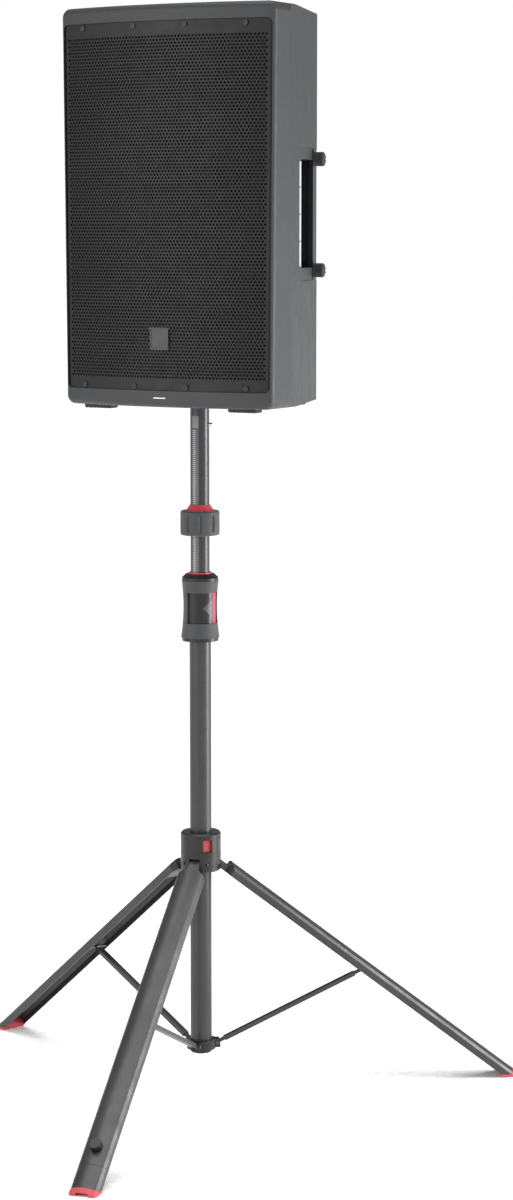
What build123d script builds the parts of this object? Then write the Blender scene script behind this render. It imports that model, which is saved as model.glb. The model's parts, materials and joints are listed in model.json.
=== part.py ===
from build123d import *
from math import asin, atan2, cos, degrees, hypot, pi, radians, sin, sqrt, tan
import os

# A powered loudspeaker cabinet on a tripod stand. Millimetres, +Z up, floor at z = 0.
# The cabinet faces -Y. The pieces are drawn about the mast's axis and moved on export,
# so that the middle of the whole object's footprint is at the origin.

# Tripod
LEG_TURN = 11.0            # the front leg's turn from -Y towards +X
FOOT_R = 597.0             # mast axis to the tip of each foot
HUB_Z = 445.0              # height of the leg pivots
LEG_PIVOT_R = 28.5
LEG_W, LEG_TOP, LEG_LOW = 51.0, 16.0, 6.0   # leg section: width, above and below the pivot line
LEG_WALL = 2.0
LEG_NECK = 20.0            # width of the pressed end between the hub's cheeks
LEG_END = 722.0            # end of the metal, along the leg from its pivot
SOLE_T = 5.0               # rubber under the metal, which is cut level with the floor
TOE_R = 614.0              # mast axis to the rounded toe of each shoe
EXTENSION_JOINT = 674.0    # where the front leg's extension comes out of the leg
KNOB_AT = 640.0            # levelling knob, along the front leg
EYE_R = 7.0
LEG_PIN_R = 3.0
BRACE_AT = 360.0           # brace pivot, along the leg
BRACE_DEPTH = -2.0         # brace pivot, across the leg
COLLAR_Z, COLLAR_R = 96.0, 28.5             # lower brace pivots
BRACE_W, BRACE_T = 12.0, 7.5
BRACE_PIN_R = 2.5

# Tubes and the fittings on them
BASE_R, BASE_WALL = 20.0, 1.7
BASE_LOW, BASE_HIGH = 86.0, 890.0
MAST_R, MAST_WALL = 17.5, 1.6
MAST_LOW = 470.0
FIT = 0.08                 # radial clearance of a running fit
GAP = 0.3                  # clearance between soft or covered faces
HUB_R, HUB_LOW, HUB_HIGH = 37.4, 429.0, 502.0
HUB_WINDOW_TURN, HUB_WINDOW_Z = 50.0, 479.0
CLAMP_LOW, CLAMP_HIGH = 860.5, 984.5
CORE_R = 26.0
SLEEVE_IN_R = 28.6
WINDOW_TURN, WINDOW_SPAN = 53.0, 144.0
PANEL_FROM, FLAG_FROM, FLAG_TO = -19.0, 84.0, 130.0    # turns of the panel and red flag behind it
STOP_LOW, STOP_R, STOP_H = 1056.0, 36.0, 45.0
PIN_Z, PIN_TURN, PIN_R = 1259.0, 105.0, 3.0

# Cabinet, measured from its own bottom
CAB_Z = 1297.0
CAB_W, CAB_H, CAB_D = 439.0, 707.0, 366.0
CAB_LEAN = 5.0             # each side leans in by this much towards the bottom
FRONT_Y = -144.0           # middle of the bowed front
BOW = 28.0                 # how far the front's edges lie behind its middle
SEAM_Y = -60.0
REAR_Y = FRONT_Y + CAB_D
REAR_HALF = 125.0
WALL = 5.0
BEZEL = 5.0                # width of the rim beside the grille
BOW_HALF = 211.5           # half the width over which the bow is measured
EDGE_R = 11.0              # rounding of the front's edges
GRILLE_LOW, GRILLE_HIGH = 29.5, 678.0
GRILLE_SET, GRILLE_T = 3.5, 1.6
BAFFLE_Y, BAFFLE_T = -100.0, 12.0
SCREW_US = (-167.0, -53.0, 53.0, 167.0)
SOCKET_DEEP = 86.0

# Drivers
WOOFER_Z, WOOFER_R = 236.0, 192.0
CONE_R, COIL_R = 154.0, 38.0
HORN_Z, HORN_W, HORN_H, HORN_DEEP = 572.0, 300.0, 184.0, 120.0
PORT_U, PORT_Z, PORT_R, PORT_L = 160.0, 438.0, 30.0, 80.0

# Handles at the rear corners
HANDLE_LOW, HANDLE_HIGH = 222.0, 462.0
SLOT_LOW, SLOT_HIGH = 245.0, 441.0
PEG_LOW, PEG_HIGH, PEG_R = 240.0, 443.0, 13.0
PEG_ALONG = 262.0          # from the seam, along the side wall

# Amplifier at the rear
AMP_W, AMP_LOW, AMP_HIGH, AMP_Y = 140.0, 60.0, 640.0, 204.0
KNOB_US, KNOB_Z = (-42.0, 0.0, 42.0), 585.0
JACK_US, JACK_Z = (-42.0, 0.0, 42.0), 530.0
INLET_U, INLET_Z = -30.0, 100.0
SWITCH_U = 32.0
BUTTON_Z = 480.0

# Worked out from the above
LEG_L = hypot(FOOT_R - LEG_PIVOT_R, HUB_Z)
LEG_TILT = degrees(atan2(FOOT_R - LEG_PIVOT_R, HUB_Z))     # from straight down
BRACE_TOP_R = LEG_PIVOT_R + BRACE_AT * sin(radians(LEG_TILT)) + BRACE_DEPTH * cos(radians(LEG_TILT))
BRACE_TOP_Z = HUB_Z - BRACE_AT * cos(radians(LEG_TILT)) + BRACE_DEPTH * sin(radians(LEG_TILT))
BRACE_L = hypot(BRACE_TOP_R - COLLAR_R, BRACE_TOP_Z - COLLAR_Z)
BRACE_RISE = degrees(atan2(BRACE_TOP_Z - COLLAR_Z, BRACE_TOP_R - COLLAR_R))
BOW_R = (BOW_HALF ** 2 + BOW ** 2) / (2 * BOW)
TURNS = {"front": LEG_TURN, "right": LEG_TURN + 120, "left": LEG_TURN + 240}
FOOT_XS = [FOOT_R * sin(radians(t)) for t in TURNS.values()]
FOOT_YS = [-FOOT_R * cos(radians(t)) for t in TURNS.values()]
MAST_X = -(min(FOOT_XS) + max(FOOT_XS)) / 2
MAST_Y = -(min(FOOT_YS) + max(FOOT_YS)) / 2
SIDE_X = CAB_W / 2
SIDE_RUN = hypot(SIDE_X - REAR_HALF, REAR_Y - SEAM_Y)
ALONG = ((REAR_HALF - SIDE_X) / SIDE_RUN, (REAR_Y - SEAM_Y) / SIDE_RUN)   # along the side wall, in plan
OUT = (ALONG[1], -ALONG[0])                                               # out of the right side wall


# Helpers

def tube(radius, bore, low, high):
    """An upright ring about the mast's axis."""
    height = high - low
    ring = Cylinder(radius, height) - Cylinder(bore, height + 2)
    return Pos(0, 0, low + height / 2) * ring


def turned(turn):
    """Turns +X to point away from the mast at this turn from -Y towards +X."""
    return Rot(0, 0, turn - 90)


def on_leg(turn):
    """Places a piece drawn along +X from the leg's pivot, with +Z out of the leg's top face."""
    return turned(turn) * Pos(LEG_PIVOT_R, 0, HUB_Z) * Rot(0, 90 - LEG_TILT, 0)


def sector(radius, bore, low, high, middle, span):
    """Part of an upright ring, centred on a turn."""
    wedge = Wire([Line((0, 0), (90, -90 * tan(radians(span / 2)))),
                  Line((90, -90 * tan(radians(span / 2))), (90, 90 * tan(radians(span / 2)))),
                  Line((90, 90 * tan(radians(span / 2))), (0, 0))])
    block = Pos(0, 0, low) * extrude(make_face(wedge), high - low)
    return tube(radius, bore, low, high) & (turned(middle) * block)


def along_y(shape, u, y, z):
    """Places a solid drawn about Z so that its +Z faces the rear, with its base at y."""
    return Pos(u, y, CAB_Z + z) * Rot(-90, 0, 0) * shape


def disc(radius, thick):
    return Pos(0, 0, thick / 2) * Cylinder(radius, thick)


def ring(radius, bore, thick):
    return disc(radius, thick) - Pos(0, 0, -1) * disc(bore, thick + 2)


# Cabinet

def elevation(inset_side, low, high, corner):
    """Front view outline, with leaning sides, extruded through the whole depth."""
    def half(z):
        return CAB_W / 2 - inset_side - CAB_LEAN * (1 - z / CAB_H)
    outline = Polyline((-half(low), low), (half(low), low), (half(high), high), (-half(high), high), close=True)
    face = fillet(make_face(outline).vertices(), corner)
    return Pos(0, 0, CAB_Z) * Rot(90, 0, 0) * extrude(face, 400, both=True)


def plan(inset):
    """Seen from above: straight flanks at the front, tapering to the rear."""
    x = SIDE_X - inset
    rear_x, rear_y = REAR_HALF - inset, REAR_Y - inset
    outline = Polyline((-x, -200), (x, -200), (x, SEAM_Y), (rear_x, rear_y), (-rear_x, rear_y), (-x, SEAM_Y),
                       close=True)
    face = make_face(outline)
    rear_corners = face.vertices().sort_by(Axis.Y)[-2:]
    return Pos(0, 0, CAB_Z - 5) * extrude(fillet(rear_corners, 16), CAB_H + 10)


def bow(back):
    """Everything behind the bowed front, set back by this much."""
    return Pos(0, FRONT_Y + back + BOW_R, CAB_Z + CAB_H / 2) * Cylinder(BOW_R, CAB_H + 20)


def cabinet_block(inset):
    """The cabinet's outer shape, or the same shape set in on every side."""
    return elevation(inset, inset, CAB_H - inset, 16 - inset / 2) & plan(inset) & bow(inset)


def slab(y_low, y_high):
    """A slice of space between two depths."""
    return Pos(0, (y_low + y_high) / 2, CAB_Z + CAB_H / 2) * Box(600, y_high - y_low, 900)


def front_screw_sites():
    return [(u, z) for z in (GRILLE_LOW + 7, GRILLE_HIGH - 8) for u in SCREW_US]


def bow_y(u, back):
    """Depth of the bowed surface at a distance from the middle."""
    return FRONT_Y + back + BOW_R - sqrt(BOW_R ** 2 - u ** 2)


def front_baffle():
    block = cabinet_block(0) & slab(-200, SEAM_Y)
    front_edges = [e for e in block.edges() if e.center().Y < SEAM_Y - 30 and e.length > 100]
    block = fillet(front_edges, EDGE_R)
    mouth = elevation(BEZEL, GRILLE_LOW, GRILLE_HIGH, 10) & slab(-200, BAFFLE_Y)
    inner = cabinet_block(BEZEL) & slab(BAFFLE_Y + BAFFLE_T, SEAM_Y + 1)
    shell = block - mouth - inner
    for z in (GRILLE_LOW / 2 + 1, (GRILLE_HIGH + CAB_H) / 2 - 1):
        cavity = Pos(0, (BAFFLE_Y - 28 + SEAM_Y) / 2, CAB_Z + z) * Box(CAB_W - 60, SEAM_Y - BAFFLE_Y + 28, 18)
        shell -= cavity & bow(BEZEL + 3)
    for u, z in front_screw_sites():
        length = BAFFLE_Y - bow_y(abs(u) + 6, GRILLE_SET + GRILLE_T + 0.1)
        shell += along_y(disc(6, length), u, BAFFLE_Y - length, z)
        shell -= along_y(disc(2.05, 20), u, BAFFLE_Y - length - 1, z)
    shell -= along_y(disc(WOOFER_R - 12, 40), 0, BAFFLE_Y - 5, WOOFER_Z)
    shell -= along_y(disc(WOOFER_R + GAP, 5.3), 0, BAFFLE_Y - 0.3, WOOFER_Z)
    for spot in PolarLocations(WOOFER_R - 7, 8):
        shell -= along_y(spot * disc(2.55, 30), 0, BAFFLE_Y, WOOFER_Z)
    shell -= Pos(0, BAFFLE_Y, CAB_Z + HORN_Z) * Box(HORN_W - 16, 60, HORN_H - 16)
    for side in (-1, 1):
        shell -= along_y(disc(PORT_R + 0.1, 40), side * PORT_U, BAFFLE_Y - 5, PORT_Z)
    bar = Pos(0, bow_y(0, 0), CAB_Z + GRILLE_LOW / 2 + 2) * Box(25.6, 8, 2.6)
    return shell - bar


def on_side(along, z):
    """Origin on the right side wall, +Z straight out of it and +Y along it to the rear."""
    lean = degrees(atan2(OUT[1], OUT[0]))
    x = SIDE_X + ALONG[0] * along
    y = SEAM_Y + ALONG[1] * along
    return Pos(x, y, CAB_Z + z) * Rot(0, 0, lean) * Rot(0, 90, 0)


def both_sides(shape):
    return [shape, mirror(shape, Plane.YZ)]


def notch():
    """The open corner behind the right handle, as a solid to cut away."""
    start = SIDE_X + ALONG[0] * 98, SEAM_Y + ALONG[1] * 98
    bend = SIDE_X + ALONG[0] * 124 - OUT[0] * 8, SEAM_Y + ALONG[1] * 124 - OUT[1] * 8
    outline = Polyline(start, bend, (80, REAR_Y), (80, REAR_Y + 20), (260, REAR_Y + 20), (260, start[1]),
                       close=True)
    block = Pos(0, 0, CAB_Z + SLOT_LOW) * extrude(make_face(outline), SLOT_HIGH - SLOT_LOW)
    level = [e for e in block.edges() if abs(e.tangent_at(0).Z) < 0.5]
    inner_wall = [e for e in level if e.center().X < start[0] and 25 < e.length and e.center().Y < REAR_Y]
    return fillet(inner_wall, 12)


def grip_column(spread):
    """The right grip's section at the rear corner, over the handle's full height."""
    edge = SIDE_X + ALONG[0] * 246, SEAM_Y + ALONG[1] * 246
    outline = Polyline((97, REAR_Y + 10), (97, REAR_Y - 14), (edge[0] - 14, edge[1] + 6), (edge[0] + 30, edge[1] - 9),
                       (260, REAR_Y + 10), close=True)
    face = make_face(outline)
    face = fillet(face.vertices().sort_by(Axis.X)[1:3], 7)
    low, high = HANDLE_LOW + GAP - spread, HANDLE_HIGH - GAP + spread
    return Pos(0, 0, CAB_Z + low) * extrude(offset(face, spread) if spread else face, high - low)


def handle_recess():
    """The shallow sunk area around the right handle's slot."""
    middle = (HANDLE_LOW + HANDLE_HIGH) / 2
    face = Rectangle(HANDLE_HIGH - HANDLE_LOW, 220)
    front_corners = face.vertices().sort_by(Axis.Y)[:2]
    return on_side(98 + 110, middle) * Pos(0, 0, -2) * extrude(fillet(front_corners, 22), 20)


def rear_shell():
    outer = cabinet_block(0) & slab(SEAM_Y + 0.2, REAR_Y + 10)
    inner = cabinet_block(WALL) & slab(SEAM_Y - 10, REAR_Y - WALL)
    shell = outer - inner
    amp_mid = CAB_Z + (AMP_LOW + AMP_HIGH) / 2
    tray = Pos(0, (AMP_Y - 4 + REAR_Y) / 2, amp_mid) * Box(AMP_W + 10, REAR_Y - AMP_Y + 4, AMP_HIGH - AMP_LOW + 10)
    shell += tray & cabinet_block(0)
    lining = offset(notch(), 4) & cabinet_block(0)
    seat = offset(grip_column(0), 4) & cabinet_block(0)
    for half in both_sides(lining + seat):
        shell += half
    for half in both_sides(notch() + grip_column(GAP) + handle_recess()):
        shell -= half
    shell -= Pos(0, AMP_Y - 10, amp_mid) * Box(AMP_W - 10, 60, AMP_HIGH - AMP_LOW - 10)
    shell -= Pos(0, AMP_Y + 20, amp_mid) * Box(AMP_W, 40, AMP_HIGH - AMP_LOW)
    for z in (293, 343, 393):
        fin = Pos(87, REAR_Y - 22, CAB_Z + z) * Box(12, 30, 2)
        for half in both_sides(fin & notch() & cabinet_block(2)):
            shell += half
    shell -= Pos(0, 0, CAB_Z) * Cylinder(28, 40)
    return shell


def side_handles():
    """The grips at the rear corners, each with two seats for its pegs."""
    bar = cabinet_block(0.5) & grip_column(0)
    for z in (PEG_LOW, PEG_HIGH):
        bar -= on_side(PEG_ALONG, z) * Pos(0, 0, -3) * disc(PEG_R + 0.2, 30)
    return Compound(children=both_sides(bar))


def side_pegs():
    """Rubber pegs, which the cabinet also lies on as a floor wedge."""
    peg = fillet((Pos(0, 0, -2.8) * disc(PEG_R, 22)).edges().sort_by(Axis.Z)[-1], 5)
    pegs = []
    for z in (PEG_LOW, PEG_HIGH):
        pegs += both_sides(on_side(PEG_ALONG, z) * peg)
    return Compound(children=pegs)


def grille():
    sheet = bow(GRILLE_SET) - bow(GRILLE_SET + GRILLE_T)
    sheet = sheet & elevation(BEZEL + GAP, GRILLE_LOW + GAP, GRILLE_HIGH - GAP, 10) & slab(-200, BAFFLE_Y)
    for u, z in front_screw_sites():
        sheet -= along_y(disc(2.4, 60), u, FRONT_Y - 5, z)
    return sheet


def grille_foam():
    front = GRILLE_SET + GRILLE_T + GAP
    sheet = bow(front) - bow(front + 3)
    sheet = sheet & elevation(BEZEL + 12, GRILLE_LOW + 16, GRILLE_HIGH - 16, 8) & slab(-200, BAFFLE_Y)
    return sheet


def grille_screws():
    screws = []
    for u, z in front_screw_sites():
        top = bow_y(u, GRILLE_SET)
        head = Pos(0, 0, -1.9) * disc(4.5, 1.8)
        shank = Pos(0, 0, -0.2) * disc(2.0, 15)
        recess = Pos(0, 0, -2.4) * extrude(RegularPolygon(1.6, 6), 1.4)
        lean = degrees(asin(u / BOW_R))
        screws.append(along_y(head + shank - recess, u, top - 0.2 - abs(tan(radians(lean))) * 4.5, z))
    return Compound(children=screws)


def badge():
    plate = extrude(fillet(Rectangle(38, 40).vertices(), 3), 2.4)
    wings = Pos(0, 18.5, 0) * extrude(Rectangle(44, 2.2), 1.6)
    rim = Pos(0, 0, 1.7) * extrude(fillet(Rectangle(33, 35).vertices(), 2), 2)
    plate = plate + wings - rim
    y = bow_y(22, GRILLE_SET) - 0.6
    block = Pos(0, y, CAB_Z + 122) * Rot(90, 0, 0) * plate
    return block - bow(GRILLE_SET - 0.3)


def light_bar():
    return Pos(0, bow_y(0, 0) + 2.4, CAB_Z + GRILLE_LOW / 2 + 2) * Box(25, 3, 2)


def woofer_frame():
    flange = Pos(0, 0, 0.2) * ring(WOOFER_R, WOOFER_R - 19, 4.5)
    profile = Polyline((WOOFER_R - 13, 4), (WOOFER_R - 16, 4), (92, 98), (60, 98), (60, 102), (96, 102),
                       (WOOFER_R - 13, 8), close=True)
    basket = revolve(Rot(90, 0, 0) * make_face(profile), Axis.Z)
    for spot in PolarLocations(130, 8):
        basket -= spot * Pos(0, 0, 58) * Box(78, 52, 58)
    frame = flange + basket
    for spot in PolarLocations(WOOFER_R - 7, 8):
        frame -= spot * Pos(0, 0, -5) * disc(2.8, 14)
    return along_y(frame, 0, BAFFLE_Y, WOOFER_Z)


def woofer_screws():
    screws = []
    for spot in PolarLocations(WOOFER_R - 7, 8):
        screw = Pos(0, 0, -2.4) * disc(4.5, 2.4) + Pos(0, 0, -1) * disc(2.45, 18)
        screws.append(along_y(spot * screw, 0, BAFFLE_Y, WOOFER_Z))
    return Compound(children=screws)


def woofer_surround():
    roll = Torus(163.5, 8.5) - Torus(163.5, 7.3)
    roll = roll & (Pos(0, 0, -10) * ring(172, CONE_R + GAP, 10))
    return along_y(Pos(0, 0, 4.2) * roll, 0, BAFFLE_Y, WOOFER_Z)


def woofer_cone():
    outer = Polyline((CONE_R, 0), (CONE_R, 2), (COIL_R + 4, 62), (COIL_R + 1, 62), (COIL_R + 1, 60), close=True)
    cone = revolve(Rot(90, 0, 0) * make_face(outer), Axis.Z)
    return along_y(cone, 0, BAFFLE_Y, WOOFER_Z)


def dust_cap():
    dome = Sphere(70) - Sphere(69)
    dome = dome & (Pos(0, 0, -80) * disc(58, 40.5))
    return along_y(Pos(0, 0, 89) * dome, 0, BAFFLE_Y, WOOFER_Z)


def voice_coil():
    return along_y(Pos(0, 0, 56) * ring(COIL_R + 0.9, COIL_R - 1.2, 71), 0, BAFFLE_Y, WOOFER_Z)


def woofer_spider():
    disc_part = ring(88, COIL_R + 1.4, 1.2)
    for radius in (50, 62, 74):
        disc_part += Pos(0, 0, -1.2) * ring(radius + 3, radius - 3, 1.4)
    return along_y(Pos(0, 0, 88) * disc_part, 0, BAFFLE_Y, WOOFER_Z)


def woofer_magnet():
    body = Pos(0, 0, 102.2) * ring(78, COIL_R + 2.6, 34) + Pos(0, 0, 136) * disc(78, 12)
    pole = Pos(0, 0, 104) * disc(COIL_R - 3, 36)
    return along_y(body + pole, 0, BAFFLE_Y, WOOFER_Z)


def horn():
    def rect(width, height, y):
        face = fillet(Rectangle(width, height).vertices(), 12)
        return Pos(0, y, CAB_Z + HORN_Z) * Rot(90, 0, 0) * face

    def throat(radius, y):
        return Pos(0, y, CAB_Z + HORN_Z) * Rot(90, 0, 0) * Circle(radius)
    outside = loft([rect(HORN_W - 18, HORN_H - 18, BAFFLE_Y - 0.5), rect(130, 90, BAFFLE_Y + 60)])
    outside += loft([rect(130, 90, BAFFLE_Y + 59), throat(20, BAFFLE_Y + HORN_DEEP)])
    inside = loft([rect(HORN_W - 26, HORN_H - 26, BAFFLE_Y - 0.6), rect(120, 80, BAFFLE_Y + 60)])
    inside += loft([rect(120, 80, BAFFLE_Y + 59), throat(12.7, BAFFLE_Y + HORN_DEEP + 0.1)])
    flange = Pos(0, BAFFLE_Y - 2.1, CAB_Z + HORN_Z) * Box(HORN_W, 4, HORN_H)
    hole = Pos(0, BAFFLE_Y - 2, CAB_Z + HORN_Z) * Box(HORN_W - 26, 6, HORN_H - 26)
    collar = along_y(ring(36, 12.7, 5), 0, BAFFLE_Y + HORN_DEEP, HORN_Z)
    return outside + collar + (flange - hole) - inside


def compression_driver():
    start = BAFFLE_Y + HORN_DEEP + 5.2
    motor = disc(40, 8) + Pos(0, 0, 8) * disc(52, 34) + Pos(0, 0, 42) * disc(34, 10)
    return along_y(motor, 0, start, HORN_Z)


def port_tubes():
    tubes = [along_y(ring(PORT_R, PORT_R - 3, PORT_L), side * PORT_U, BAFFLE_Y, PORT_Z) for side in (-1, 1)]
    return Compound(children=tubes)


def pole_socket():
    """The cup that the mast goes into, closed at its top."""
    cup = tube(27.5, MAST_R + FIT, CAB_Z - 2, CAB_Z + SOCKET_DEEP)
    flange = tube(42, 27.4, CAB_Z + WALL + 0.2, CAB_Z + WALL + 4.2)
    lid = Pos(0, 0, CAB_Z + SOCKET_DEEP + 2.5) * Cylinder(27.5, 5)
    return cup + flange + lid


def cabinet_feet():
    """Four ribbed pads under the base."""
    pads = []
    for x, y in ((-150, -98), (150, -98), (-105, 150), (105, 150)):
        pad = Box(56, 24, 5)
        for rib in range(7):
            pad += Pos((rib - 3) * 8, 0, -3.2) * Box(4, 24, 2)
        pads.append(Pos(x, y, CAB_Z - 2.7) * pad)
    return Compound(children=pads)


def amp_panel():
    height = AMP_HIGH - AMP_LOW - 2 * GAP
    plate = Pos(0, AMP_Y + 1.7, CAB_Z + (AMP_LOW + AMP_HIGH) / 2) * Box(AMP_W - 2 * GAP, 3, height)
    for u in KNOB_US:
        plate -= along_y(disc(3.6, 20), u, AMP_Y - 8, KNOB_Z)
    for u in JACK_US:
        plate -= along_y(disc(12.2, 20), u, AMP_Y - 8, JACK_Z)
    plate -= along_y(disc(3.2, 20), 0, AMP_Y - 8, BUTTON_Z)
    plate -= Pos(INLET_U, AMP_Y, CAB_Z + INLET_Z) * Box(32.4, 20, 26.4)
    plate -= Pos(SWITCH_U, AMP_Y, CAB_Z + INLET_Z) * Box(20.4, 20, 14.4)
    return plate


def heat_sink():
    low, high = 150.0, 430.0
    base = Pos(0, AMP_Y + 5.4, CAB_Z + (low + high) / 2) * Box(116, 4, high - low)
    for fin in range(13):
        base += Pos((fin - 6) * 9.3, AMP_Y + 11, CAB_Z + (low + high) / 2) * Box(2.4, 9, high - low)
    return base


def amp_board():
    board = Pos(0, AMP_Y - 22, CAB_Z + 360) * Box(110, 2, 420)
    for u, z, width, deep, high in ((-25, 250, 40, 30, 60), (30, 260, 30, 26, 30), (0, 400, 60, 18, 50)):
        board += Pos(u, AMP_Y - 22 - deep / 2, CAB_Z + z) * Box(width, deep, high)
    return board


def input_jacks():
    jacks = []
    for u in JACK_US:
        body = Pos(0, 0, -15) * disc(11.9, 17.5) + Pos(0, 0, 1.6) * ring(14, 8, 2)
        jack = body - Pos(0, 0, -8) * disc(8, 20)
        jacks.append(along_y(jack, u, AMP_Y + 1.8, JACK_Z))
    return Compound(children=jacks)


def power_inlet():
    shell = Box(32, 22, 26) - Pos(0, 5, 0) * Box(25, 20, 17)
    flange = Pos(0, 11.4, 0) * (Box(38, 2, 32) - Box(25, 4, 17))
    inlet = shell + flange
    for u, z in ((-7, -2), (7, -2), (0, 3)):
        inlet += Pos(u, -1, z) * Box(2, 9, 4)
    return Pos(INLET_U, AMP_Y - 7, CAB_Z + INLET_Z) * inlet


def panel_knob(u):
    cap = fillet(disc(9, 11).edges().sort_by(Axis.Z)[-1], 1.5)
    cap = cap - Pos(0, 6, 10) * Box(1.6, 8, 3)
    knob = Pos(0, 0, 4) * cap + Pos(0, 0, -8) * disc(3.5, 13)
    return along_y(knob, u, AMP_Y, KNOB_Z)


def power_switch():
    body = Box(19.6, 5, 12) & Pos(0, -6, 0) * Rot(0, 90, 0) * Cylinder(10, 20)
    return Pos(SWITCH_U, AMP_Y + 2, CAB_Z + INLET_Z) * body


def panel_button():
    cap = fillet((Pos(0, 0, 3.4) * disc(5, 4)).edges().sort_by(Axis.Z)[-1], 1)
    return along_y(cap + Pos(0, 0, -8) * disc(3.1, 12), 0, AMP_Y + 2, BUTTON_Z)


# Stand

def base_tube():
    return tube(BASE_R, BASE_R - BASE_WALL, BASE_LOW, BASE_HIGH)


def base_plug():
    cap = Pos(0, 0, BASE_LOW - 3) * Cylinder(BASE_R, 6)
    cap = fillet(cap.edges().sort_by(Axis.Z)[0], 3)
    return cap + Pos(0, 0, BASE_LOW + 8) * Cylinder(BASE_R - BASE_WALL - 0.05, 16)


def bottom_collar():
    """The ring that carries the lower brace pivots between pairs of cheeks."""
    body = tube(27, BASE_R + 0.02, COLLAR_Z - 9, COLLAR_Z + 9)
    for turn in TURNS.values():
        lug = Pos(27, 0, COLLAR_Z) * Box(16, 17, 16)
        body += turned(turn) * lug
    body -= Pos(0, 0, COLLAR_Z) * Cylinder(BASE_R + 0.02, 40)
    for turn in TURNS.values():
        slot = Pos(32, 0, COLLAR_Z - 3) * Box(20, 9, 30)
        bore = Pos(COLLAR_R, 0, COLLAR_Z) * Rot(90, 0, 0) * Cylinder(BRACE_PIN_R, 30)
        body -= turned(turn) * slot
        body -= turned(turn) * bore
    return body


def lower_pins():
    pins = []
    for turn in TURNS.values():
        pin = Rot(90, 0, 0) * Cylinder(BRACE_PIN_R - 0.02, 3.9)
        for side in (-1, 1):
            pins.append(turned(turn) * Pos(COLLAR_R, side * 6.6, COLLAR_Z) * pin)
    return Compound(children=pins)


def clamp_core():
    core = tube(CORE_R, BASE_R + 0.02, CLAMP_LOW + 1, BASE_HIGH + 0.1)
    core += tube(CORE_R, MAST_R + FIT, BASE_HIGH + 0.1, CLAMP_HIGH)
    core += tube(33.5, MAST_R + FIT, CLAMP_HIGH - 12, CLAMP_HIGH)
    rim = [e for e in core.edges() if e.center().Z > CLAMP_HIGH - 0.1 and e.length > 190]
    core = chamfer(rim, 7)
    core += tube(33.5, CORE_R - 1, CLAMP_LOW, CLAMP_LOW + 6)
    return core


def clamp_ring():
    return tube(21, MAST_R + FIT, CLAMP_HIGH + 0.1, CLAMP_HIGH + 3)


def clamp_panel():
    middle, span = (PANEL_FROM + FLAG_FROM) / 2, FLAG_FROM - PANEL_FROM - 0.4
    return sector(SLEEVE_IN_R - GAP, CORE_R + 0.02, 880, 962, middle, span)


def clamp_flag():
    middle, span = (FLAG_FROM + FLAG_TO) / 2, FLAG_TO - FLAG_FROM
    return sector(SLEEVE_IN_R - GAP, CORE_R + 0.02, 880, 962, middle, span)


def clamp_sleeve():
    low, high = CLAMP_LOW + 6.3, CLAMP_HIGH - 12.3
    mid = (low + high) / 2
    side = ThreePointArc((35.5, low), (31.0, mid), (34.0, high))
    outline = Wire([Line((SLEEVE_IN_R, low), (35.5, low)), side, Line((34.0, high), (SLEEVE_IN_R, high)),
                    Line((SLEEVE_IN_R, high), (SLEEVE_IN_R, low))])
    grip = revolve(Rot(90, 0, 0) * make_face(outline), Axis.Z)
    return grip - sector(40, 20, 893.5, 951, WINDOW_TURN, WINDOW_SPAN)


def mast_tube():
    pipe = tube(MAST_R, MAST_R - MAST_WALL, MAST_LOW, CAB_Z + SOCKET_DEEP - 0.5)
    return pipe - turned(PIN_TURN) * Pos(0, 0, PIN_Z) * Rot(0, 90, 0) * Cylinder(PIN_R + 0.05, 60)


def mast_bush():
    """The plastic foot of the mast, which guides it inside the base tube."""
    foot = tube(BASE_R - BASE_WALL - FIT, 9, MAST_LOW - 12, MAST_LOW - 0.1)
    return foot + tube(MAST_R - MAST_WALL - 0.05, 9, MAST_LOW - 1, MAST_LOW + 24)


def safety_pin():
    pin = Pos(3, 0, PIN_Z) * Rot(0, 90, 0) * Cylinder(PIN_R, 42)
    tip = [e for e in pin.edges() if e.length > 10]
    return turned(PIN_TURN) * fillet(tip, 1)


def stop_cone():
    """The split sleeve that grips the mast, with its red top."""
    inner = tube(24, MAST_R + FIT, STOP_LOW + 1, STOP_LOW + STOP_H + 1)
    top = Pos(0, 0, STOP_LOW + STOP_H + 6) * Cone(25, 18.5, 10)
    return inner + top - Pos(0, 0, STOP_LOW + STOP_H) * Cylinder(MAST_R + FIT, 60)


def stop_ring():
    """The fluted hand ring around the sleeve."""
    body = tube(STOP_R, 24.1, STOP_LOW, STOP_LOW + STOP_H)
    rims = [e for e in body.edges() if e.length > 200]
    body = chamfer(rims, 3)
    for flute in PolarLocations(STOP_R + 17, 9):
        body -= Pos(0, 0, STOP_LOW + STOP_H / 2) * flute * Cylinder(19.5, STOP_H - 14)
    return body


def hub_body():
    body = tube(HUB_R, BASE_R + FIT, HUB_LOW, HUB_HIGH)
    rims = [e for e in body.edges() if e.length > 200]
    body = chamfer(rims, 3)
    for turn in TURNS.values():
        slot = Pos(21.2 + 15, 0, HUB_LOW + 9) * Box(30, LEG_NECK + 0.6, 34)
        bore = Pos(LEG_PIVOT_R, 0, HUB_Z) * Rot(90, 0, 0) * Cylinder(LEG_PIN_R + 0.02, 52)
        body -= turned(turn) * slot
        body -= turned(turn) * bore
    return body - turned(HUB_WINDOW_TURN) * Pos(30.7, 0, HUB_WINDOW_Z) * Box(18, 16.6, 23.6)


def hub_button():
    pad = turned(HUB_WINDOW_TURN) * Pos(29, 0, HUB_WINDOW_Z) * Box(8, 16, 23)
    return pad & tube(32.4, 21, HUB_LOW, HUB_HIGH)


def leg_pins():
    pins = []
    for turn in TURNS.values():
        pin = Pos(LEG_PIVOT_R, 0, HUB_Z) * Rot(90, 0, 0) * Cylinder(LEG_PIN_R, 40)
        pins.append(turned(turn) * pin)
    return Compound(children=pins)


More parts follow.
